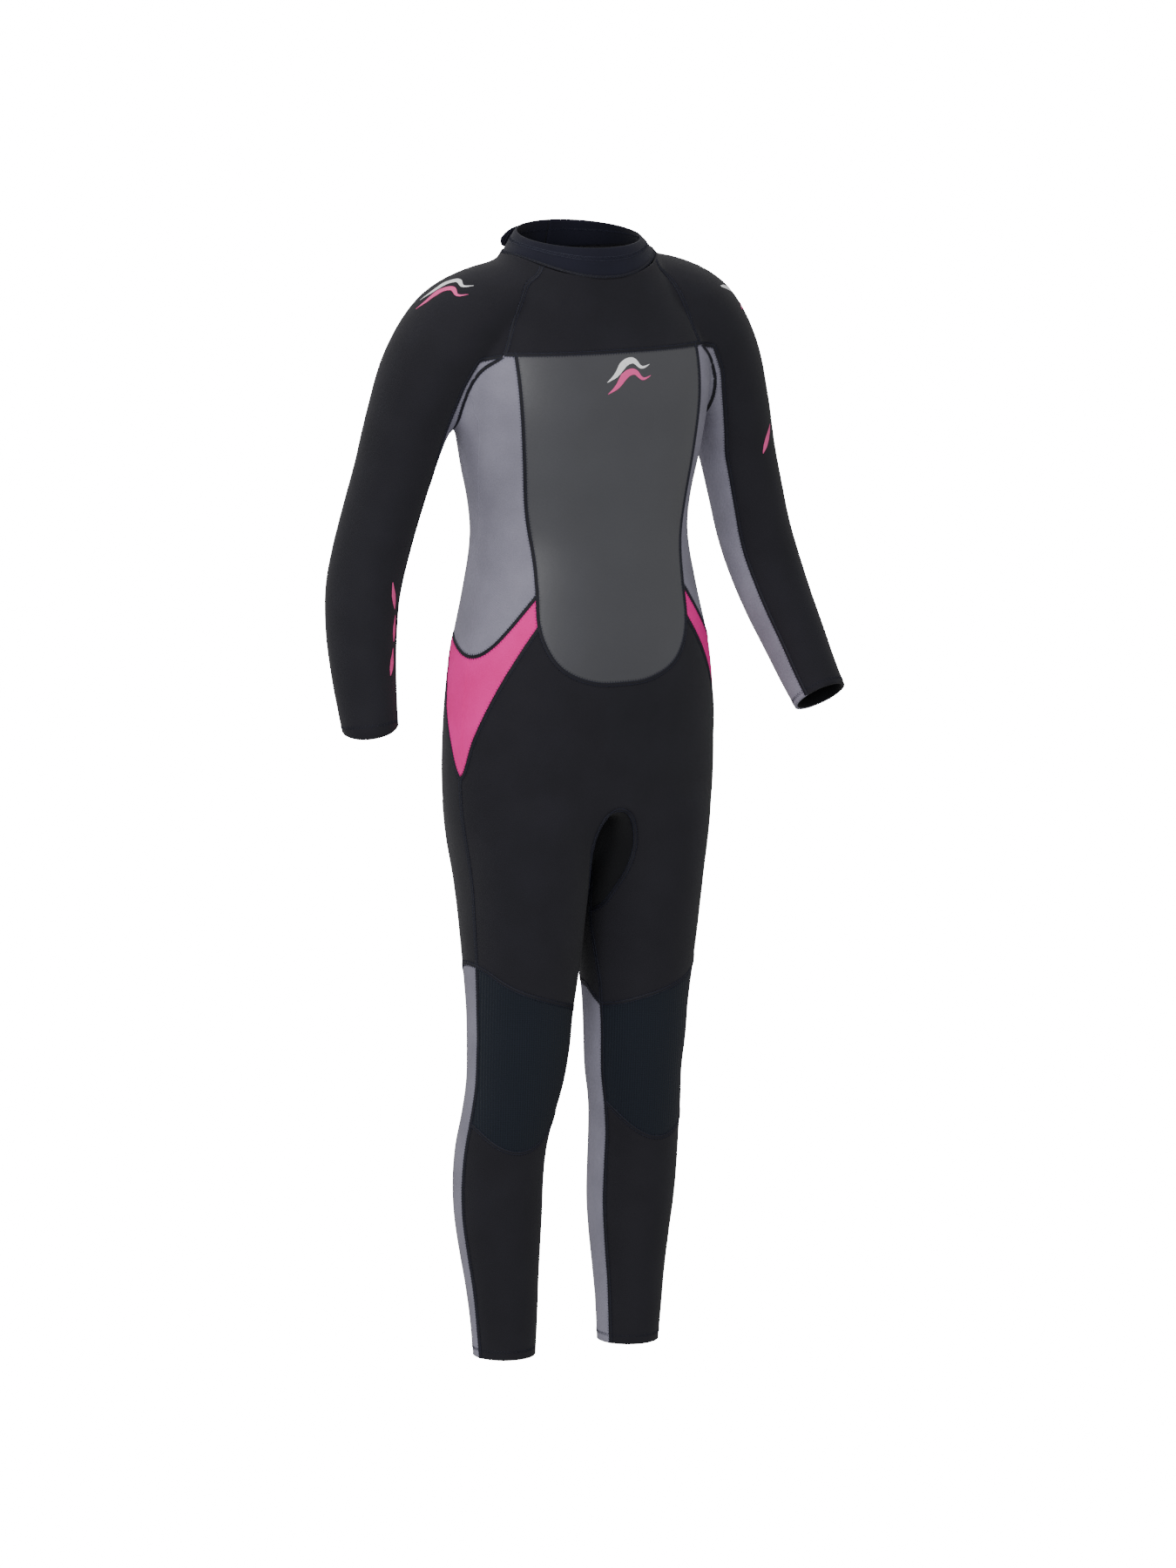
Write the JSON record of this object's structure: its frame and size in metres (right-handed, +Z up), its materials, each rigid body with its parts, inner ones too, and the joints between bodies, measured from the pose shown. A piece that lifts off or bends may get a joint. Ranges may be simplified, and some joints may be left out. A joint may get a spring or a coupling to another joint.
{
  "type": "full wetsuit",
  "caption": "Child's long-arm, long-leg neoprene wetsuit with a back zip, smooth chest panel, ribbed knee pads and bending sleeves and legs.",
  "frame": {"origin": "on the centre plane at the height of the shoulder line, 30 mm below the collar seam's sides, where a wide hanger carries the suit", "axes": "+Z up, the wearer faces -Y, the wearer's right hand is towards -X"},
  "size_m": [0.5723, 0.1888, 1.1816],
  "materials": {
    "jersey_black": "matte",
    "jersey_grey": "matte",
    "jersey_pink": "matte",
    "smoothskin": "satin",
    "knee_fabric": "matte",
    "collar_jersey": "matte",
    "lining": "matte",
    "hook_loop": "matte",
    "zip_tape": "matte",
    "zip_plastic": "satin",
    "zip_metal": "satin",
    "thread": "matte",
    "print": "satin"
  },
  "bodies": {
    "suit": {"chest_panel": "smoothskin", "front_yoke": "jersey_black", "front_panel": "jersey_black", "seat_panel": "jersey_black", "crotch_gusset": "jersey_black", "side_panel_right": "jersey_grey", "hip_panel_right": "jersey_pink", "back_panel_right": "jersey_black", "sleeve_upper_outer_right": "jersey_black", "sleeve_upper_under_right": "jersey_grey", "elbow_outer_right": "jersey_black", "elbow_under_right": "jersey_grey", "knee_pad_right": "knee_fabric", "knee_back_right": "jersey_grey", "zip_tape_right": "zip_tape", "zip_teeth_right": "zip_plastic", "zip_top_stop_right": "zip_metal", "side_panel_left": "jersey_grey", "hip_panel_left": "jersey_pink", "back_panel_left": "jersey_black", "sleeve_upper_outer_left": "jersey_black", "sleeve_upper_under_left": "jersey_grey", "elbow_outer_left": "jersey_black", "elbow_under_left": "jersey_grey", "knee_pad_left": "knee_fabric", "knee_back_left": "jersey_grey", "zip_tape_left": "zip_tape", "zip_teeth_left": "zip_plastic", "zip_top_stop_left": "zip_metal", "zip_bottom_stop": "zip_metal", "zip_flap": "lining", "collar_band": "collar_jersey", "loop_patch": "hook_loop"},
    "forearm_right": {"forearm_outer_right": "jersey_black", "forearm_under_right": "jersey_grey", "wrist_hem_right": "jersey_black"},
    "lower_leg_right": {"shin_panel_right": "jersey_black", "calf_panel_right": "jersey_grey", "ankle_hem_right": "jersey_black"},
    "forearm_left": {"forearm_outer_left": "jersey_black", "forearm_under_left": "jersey_grey", "wrist_hem_left": "jersey_black"},
    "lower_leg_left": {"shin_panel_left": "jersey_black", "calf_panel_left": "jersey_grey", "ankle_hem_left": "jersey_black"},
    "collar_closure": {"collar_tab": "collar_jersey", "hook_patch": "hook_loop"},
    "slider": {"zip_slider": "zip_metal"},
    "puller": {"zip_puller": "zip_metal"}
  },
  "joints": [
    {"name": "elbow_right", "type": "hinge", "parent": "suit", "child": "forearm_right", "pos_m": [-0.229, 0.031, -0.28], "axis": [-0.9001, -0.276, 0.337], "range_deg": [0, 90], "stiffness_Nm_per_rad": 0.6, "deforming": ["elbow_outer_right", "elbow_under_right"]},
    {"name": "knee_right", "type": "hinge", "parent": "suit", "child": "lower_leg_right", "pos_m": [-0.071, 0.008, -0.798], "axis": [1, 0, 0], "range_deg": [0, 90], "stiffness_Nm_per_rad": 1, "deforming": ["knee_pad_right", "knee_back_right"]},
    {"name": "elbow_left", "type": "hinge", "parent": "suit", "child": "forearm_left", "pos_m": [0.229, 0.031, -0.28], "axis": [-0.9001, 0.276, -0.337], "range_deg": [0, 90], "stiffness_Nm_per_rad": 0.6, "deforming": ["elbow_outer_left", "elbow_under_left"]},
    {"name": "knee_left", "type": "hinge", "parent": "suit", "child": "lower_leg_left", "pos_m": [0.071, 0.008, -0.798], "axis": [1, 0, 0], "range_deg": [0, 90], "stiffness_Nm_per_rad": 1, "deforming": ["knee_pad_left", "knee_back_left"]},
    {"name": "collar_closure_swing", "type": "hinge", "parent": "suit", "child": "collar_closure", "pos_m": [0.0175, 0.0688, 0.0456], "axis": [0.1059, 0.3348, -0.9363], "range_deg": [0, 90]},
    {"name": "zip_slide", "type": "slide", "parent": "suit", "child": "slider", "axis": [0, 0, -1], "range_m": [0, 0.33]},
    {"name": "puller_swing", "type": "hinge", "parent": "slider", "child": "puller", "pos_m": [0, 0.0862, -0.0192], "axis": [1, 0, 0], "range_deg": [0, 150]}
  ]
}
